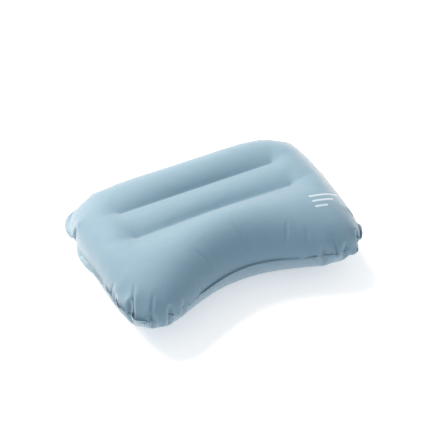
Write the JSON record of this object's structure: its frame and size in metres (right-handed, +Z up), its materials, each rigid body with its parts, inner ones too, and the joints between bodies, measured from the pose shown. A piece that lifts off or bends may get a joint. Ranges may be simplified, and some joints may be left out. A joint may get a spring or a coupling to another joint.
{
  "type": "camp pillow",
  "caption": "Inflatable camp pillow with a curved neck recess, creased channels held by inner baffles, and a flat air valve with a plug, cap and check flap underneath.",
  "frame": {"origin": "middle of the object's footprint on the ground, at the height of the ground", "axes": "+X along the long side, to the right of someone facing the curved front edge; +Y from the curved front edge to the straight back edge; +Z up"},
  "size_m": [0.456, 0.3212, 0.1287],
  "materials": {
    "top_fabric": "matt pale blue brushed polyester, laminated inside with a soft air-tight film",
    "bottom_fabric": "matt pale blue polyester with a hexagonal print of raised silicone grip dots, laminated inside",
    "baffle_film": "pale laminated fabric, film on both faces",
    "valve_plastic": "soft moulded blue-grey plastic with a fine matt texture",
    "flap_silicone": "thin translucent silicone, smooth"
  },
  "bodies": {
    "pillow": {"top_panel": "top_fabric", "bottom_panel": "bottom_fabric", "front_baffle": "baffle_film", "rear_baffle": "baffle_film", "valve_base": "valve_plastic"},
    "plug": {"valve_plug": "valve_plastic"},
    "flap": {"check_flap": "flap_silicone"},
    "cap": {"valve_cap": "valve_plastic"}
  },
  "joints": [
    {"name": "plug_hinge", "type": "hinge", "parent": "pillow", "child": "plug", "pos_m": [0.2047, 0.03323, 0.0181], "axis": [0, -0.998, 0.0628], "range_deg": [0, 150]},
    {"name": "flap_travel", "type": "slide", "parent": "plug", "child": "flap", "axis": [-0.4067, 0.0574, 0.9117], "range_m": [0, 0.001], "stiffness_N_per_m": 20},
    {"name": "cap_hinge", "type": "hinge", "parent": "plug", "child": "cap", "pos_m": [0.18139, 0.03249, 0.00632], "axis": [0, 0.998, -0.0628], "range_deg": [0, 150]}
  ]
}
